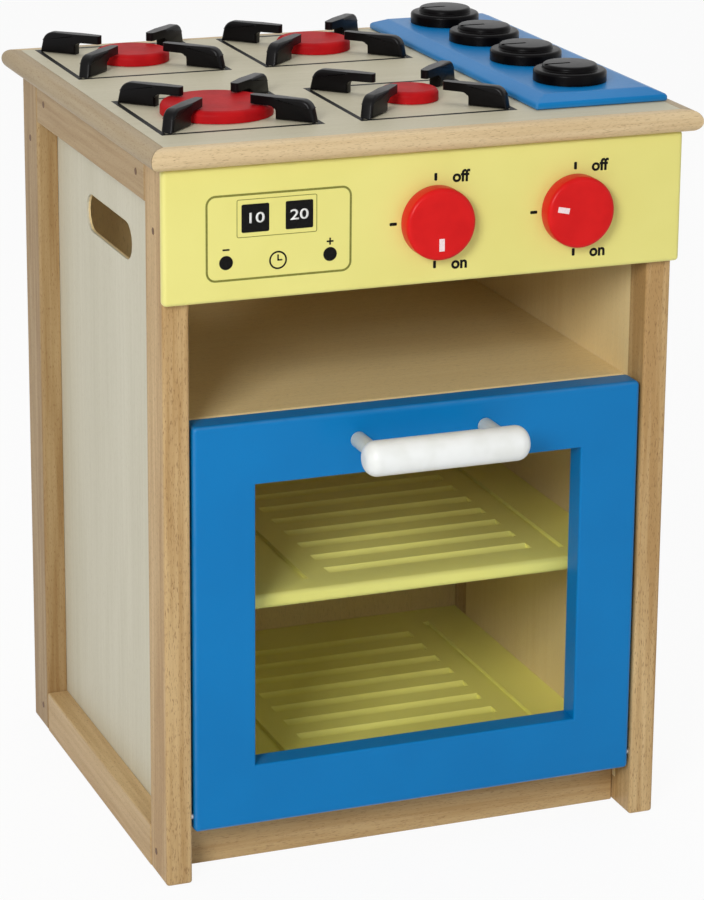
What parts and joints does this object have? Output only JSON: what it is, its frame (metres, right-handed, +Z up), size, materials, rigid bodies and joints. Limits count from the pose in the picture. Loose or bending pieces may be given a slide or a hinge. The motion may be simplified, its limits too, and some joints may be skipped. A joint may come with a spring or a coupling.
{
  "type": "toy oven",
  "caption": "Wooden play cooker: framed cabinet with hob rings, pan supports, turning knobs, an open compartment and a drop-down glazed oven door.",
  "frame": {"origin": "bottom centre of the bounding box, on the floor the toy stands on", "axes": "+Z up, +Y towards the back, +X to the right seen from the front"},
  "size_m": [0.4052, 0.4126, 0.5591],
  "materials": {
    "beech": "satin lacquered beech",
    "pale_ply": "pale lacquered plywood",
    "top_veneer": "pale lacquered board",
    "yellow_paint": "satin yellow paint on wood",
    "blue_paint": "satin blue paint on wood",
    "red_paint": "gloss red paint on wood",
    "black_paint": "gloss black paint on wood",
    "white_paint": "gloss white paint on wood",
    "clear_sheet": "clear plastic sheet",
    "bright_metal": "satin metal",
    "white_plastic": "moulded white plastic"
  },
  "bodies": {
    "cabinet": {"post_front_left": "beech", "post_front_right": "beech", "post_rear_left": "beech", "post_rear_right": "beech", "side_rail_bottom_left": "beech", "side_rail_bottom_right": "beech", "side_rail_top_left": "beech", "side_rail_top_right": "beech", "front_bottom_rail": "beech", "rear_bottom_rail": "beech", "rear_top_rail": "beech", "shelf_rear_batten": "beech", "nosing_front": "beech", "nosing_right": "beech", "nosing_rear": "beech", "nosing_left": "beech", "side_panel_left": "pale_ply", "side_panel_right": "pale_ply", "back_panel": "pale_ply", "compartment_floor": "pale_ply", "hob_board": "top_veneer", "control_panel": "yellow_paint", "oven_floor": "yellow_paint", "oven_shelf": "yellow_paint", "hob_control_block": "blue_paint", "hob_ring_fl": "red_paint", "hob_ring_rl": "red_paint", "hob_ring_fr": "red_paint", "hob_ring_rr": "red_paint", "pan_support_fl_rear_right": "black_paint", "pan_support_fl_rear_left": "black_paint", "pan_support_fl_front_left": "black_paint", "pan_support_fl_front_right": "black_paint", "pan_support_rl_rear_right": "black_paint", "pan_support_rl_rear_left": "black_paint", "pan_support_rl_front_left": "black_paint", "pan_support_rl_front_right": "black_paint", "pan_support_fr_rear_right": "black_paint", "pan_support_fr_rear_left": "black_paint", "pan_support_fr_front_left": "black_paint", "pan_support_fr_front_right": "black_paint", "pan_support_rr_rear_right": "black_paint", "pan_support_rr_rear_left": "black_paint", "pan_support_rr_front_left": "black_paint", "pan_support_rr_front_right": "black_paint", "door_pivot_pin_left": "bright_metal", "door_pivot_pin_right": "bright_metal", "door_catch": "white_plastic"},
    "oven_door": {"door_frame": "blue_paint", "door_glazing": "clear_sheet", "handle_bar": "white_paint", "handle_standoff_left": "bright_metal", "handle_standoff_right": "bright_metal", "catch_plate": "bright_metal"},
    "oven_knob_left_body": {"oven_knob_left": "red_paint"},
    "oven_knob_right_body": {"oven_knob_right": "red_paint"},
    "hob_knob_1_body": {"hob_knob_1": "black_paint"},
    "hob_knob_2_body": {"hob_knob_2": "black_paint"},
    "hob_knob_3_body": {"hob_knob_3": "black_paint"},
    "hob_knob_4_body": {"hob_knob_4": "black_paint"}
  },
  "joints": [
    {"name": "oven_door_hinge", "type": "hinge", "parent": "cabinet", "child": "oven_door", "pos_m": [0, -0.14325, 0.049], "axis": [1, 0, 0], "range_deg": [0, 86.5]},
    {"name": "oven_knob_left_turn", "type": "hinge", "parent": "cabinet", "child": "oven_knob_left_body", "pos_m": [0.004, -0.15785, 0.472], "axis": [0, 1, 0], "range_deg": [0, 180]},
    {"name": "oven_knob_right_turn", "type": "hinge", "parent": "cabinet", "child": "oven_knob_right_body", "pos_m": [0.109, -0.15785, 0.472], "axis": [0, 1, 0], "range_deg": [-90, 90]},
    {"name": "hob_knob_1_turn", "type": "hinge", "parent": "cabinet", "child": "hob_knob_1_body", "pos_m": [0.139, -0.07925, 0.5466], "axis": [0, 0, 1], "continuous": true},
    {"name": "hob_knob_2_turn", "type": "hinge", "parent": "cabinet", "child": "hob_knob_2_body", "pos_m": [0.139, -0.00095, 0.5466], "axis": [0, 0, 1], "continuous": true},
    {"name": "hob_knob_3_turn", "type": "hinge", "parent": "cabinet", "child": "hob_knob_3_body", "pos_m": [0.139, 0.07735, 0.5466], "axis": [0, 0, 1], "continuous": true},
    {"name": "hob_knob_4_turn", "type": "hinge", "parent": "cabinet", "child": "hob_knob_4_body", "pos_m": [0.139, 0.15565, 0.5466], "axis": [0, 0, 1], "continuous": true}
  ]
}
